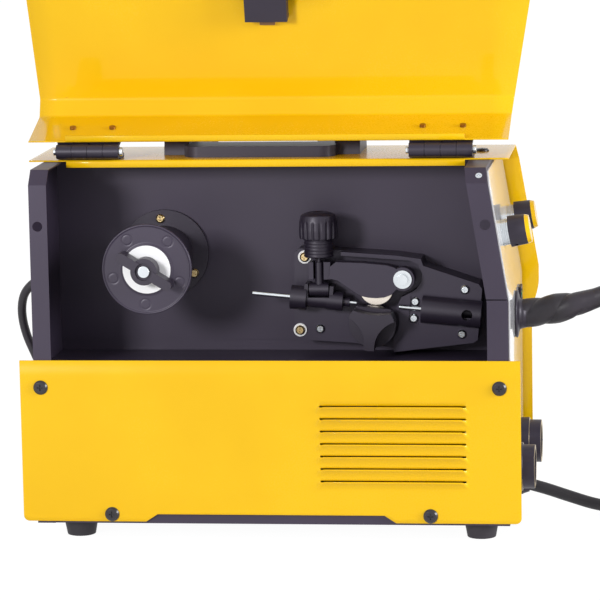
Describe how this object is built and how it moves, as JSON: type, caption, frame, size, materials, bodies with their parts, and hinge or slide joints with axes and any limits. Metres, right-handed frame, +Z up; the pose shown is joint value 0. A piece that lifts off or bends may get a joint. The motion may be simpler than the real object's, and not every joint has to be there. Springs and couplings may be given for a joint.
{
  "type": "mig welding machine",
  "caption": "Portable MIG welding machine in a sheet-metal case, with an open side door, spool hub, wire feeder, torch, earth clamp and mains lead.",
  "frame": {"origin": "on the ground, under the middle of the machine without its cords", "axes": "+X towards the front with the torch and sockets, -Y towards the side with the door, +Z up"},
  "size_m": [0.7165, 0.3067, 0.514],
  "materials": {
    "yellow_paint": "smooth semi-gloss powder coat",
    "black_paint": "fine satin powder coat",
    "white_panel": "smooth gloss",
    "black_plastic": "satin moulded",
    "feeder_plastic": "satin moulded",
    "white_plastic": "satin",
    "green_plastic": "gloss",
    "brown_plastic": "satin",
    "rubber": "matt",
    "cable_rubber": "satin",
    "zinc": "bright zinc plated",
    "roll_steel": "ground",
    "brass": "bright",
    "aluminium": "satin",
    "board": "satin",
    "core": "varnished"
  },
  "bodies": {
    "cabinet": {"base_tray": "black_paint", "rubber_feet": "rubber", "rear_panel": "black_paint", "front_frame": "black_paint", "front_panel": "white_panel", "compartment_tray": "black_paint", "outer_cover": "yellow_paint", "lower_side_panel": "yellow_paint", "carry_handle": "black_plastic", "fixed_hinge_leaves": "black_paint", "hinge_pins": "zinc", "black_screws": "black_paint", "hub_base": "black_plastic", "feeder_housing": "feeder_plastic", "insulating_washers": "white_plastic", "brass_screws": "brass", "steel_screws": "zinc", "gun_clamp": "black_plastic", "wire_guide": "black_plastic", "guide_tubes": "zinc", "feed_motor": "zinc", "knob_collars": "aluminium", "switch_bezel": "black_plastic", "output_sockets": "black_plastic", "inverter_board": "board", "heat_sink": "aluminium", "transformer": "core", "fan_frame": "black_plastic", "gas_inlet": "brass", "cable_glands": "black_plastic", "mains_cable": "cable_rubber", "mains_coil": "cable_rubber", "mains_plug": "black_plastic", "earth_cable": "cable_rubber", "earth_coil": "cable_rubber", "earth_clamp": "brass", "torch_boot": "rubber", "torch_hose": "cable_rubber", "torch_coil": "cable_rubber", "torch": "black_plastic"},
    "door": {"side_door": "yellow_paint", "door_hinge_leaves": "black_paint", "latch_housing": "black_plastic"},
    "latch": {"latch_slider": "brown_plastic"},
    "spool_hub": {"hub_barrel": "black_plastic", "hub_front_disc": "black_plastic", "hub_washer": "white_plastic"},
    "hub_knob": {"hub_wing_knob": "black_plastic"},
    "tensioner": {"tension_stud": "black_plastic"},
    "tension_cap": {"tension_knob": "black_plastic"},
    "pressure_lever": {"pressure_arm": "feeder_plastic"},
    "pressure_wheel": {"pressure_roller": "roll_steel"},
    "drive_wheel": {"drive_roll": "roll_steel", "drive_roll_knob": "black_plastic"},
    "speed_dial": {"wire_speed_knob": "black_plastic"},
    "voltage_dial": {"voltage_knob": "black_plastic"},
    "rocker": {"power_switch": "green_plastic"},
    "fan": {"fan_rotor": "black_plastic"},
    "trigger": {"torch_trigger": "feeder_plastic"},
    "clamp_jaw": {"earth_clamp_jaw": "brass"}
  },
  "joints": [
    {"name": "door_hinge", "type": "hinge", "parent": "cabinet", "child": "door", "pos_m": [0, -0.0266, 0.3294], "axis": [1, 0, 0], "range_deg": [0, 163]},
    {"name": "latch_slide", "type": "slide", "parent": "door", "child": "latch", "axis": [0, -0.2924, 0.9563], "range_m": [0, 0.008]},
    {"name": "spool_spin", "type": "hinge", "parent": "cabinet", "child": "spool_hub", "pos_m": [-0.106, 0, 0.233], "axis": [0, -1, 0], "continuous": true},
    {"name": "hub_knob_turn", "type": "hinge", "parent": "cabinet", "child": "hub_knob", "pos_m": [-0.106, 0, 0.233], "axis": [0, -1, 0], "continuous": true},
    {"name": "tensioner_swing", "type": "hinge", "parent": "cabinet", "child": "tensioner", "pos_m": [0.03508, -0.008, 0.2056], "axis": [1, 0, 0], "range_deg": [0, 90]},
    {"name": "tension_turn", "type": "hinge", "parent": "tensioner", "child": "tension_cap", "pos_m": [0.03508, -0.008, 0.2056], "axis": [0, 0, 1], "continuous": true},
    {"name": "pressure_arm_lift", "type": "hinge", "parent": "cabinet", "child": "pressure_lever", "pos_m": [0.10909, -0.008, 0.21571], "axis": [0, 1, 0], "range_deg": [0, 11]},
    {"name": "pressure_roller_spin", "type": "hinge", "parent": "pressure_lever", "child": "pressure_wheel", "pos_m": [0.08548, -0.008, 0.20733], "axis": [0, 1, 0], "continuous": true},
    {"name": "drive_roll_spin", "type": "hinge", "parent": "cabinet", "child": "drive_wheel", "pos_m": [0.08252, -0.008, 0.17667], "axis": [0, 1, 0], "continuous": true},
    {"name": "wire_speed_turn", "type": "hinge", "parent": "cabinet", "child": "speed_dial", "pos_m": [0.19785, -0.05, 0.2605], "axis": [0.9871, 0, 0.1599], "range_deg": [-150, 150]},
    {"name": "voltage_turn", "type": "hinge", "parent": "cabinet", "child": "voltage_dial", "pos_m": [0.19785, 0.05, 0.2605], "axis": [0.9871, 0, 0.1599], "range_deg": [-150, 150]},
    {"name": "power_switch_rock", "type": "hinge", "parent": "cabinet", "child": "rocker", "pos_m": [0.2025, 0.045, 0.186], "axis": [0, 1, 0], "range_deg": [-16, 0]},
    {"name": "fan_spin", "type": "hinge", "parent": "cabinet", "child": "fan", "pos_m": [-0.19, 0.03, 0.083], "axis": [1, 0, 0], "continuous": true},
    {"name": "trigger_squeeze", "type": "hinge", "parent": "cabinet", "child": "trigger", "pos_m": [0.36144, 0.09145, 0.0585], "axis": [0, 0, -1], "range_deg": [0, 8], "stiffness_Nm_per_rad": 0.5},
    {"name": "clamp_jaw_open", "type": "hinge", "parent": "cabinet", "child": "clamp_jaw", "pos_m": [0.398, -0.0567, 0.0315], "axis": [0, 0, 1], "range_deg": [0, 12], "stiffness_Nm_per_rad": 2}
  ],
  "couplings": [
    {"joint": "pressure_arm_lift", "follows": "tensioner_swing", "ratio": 0.12}
  ]
}
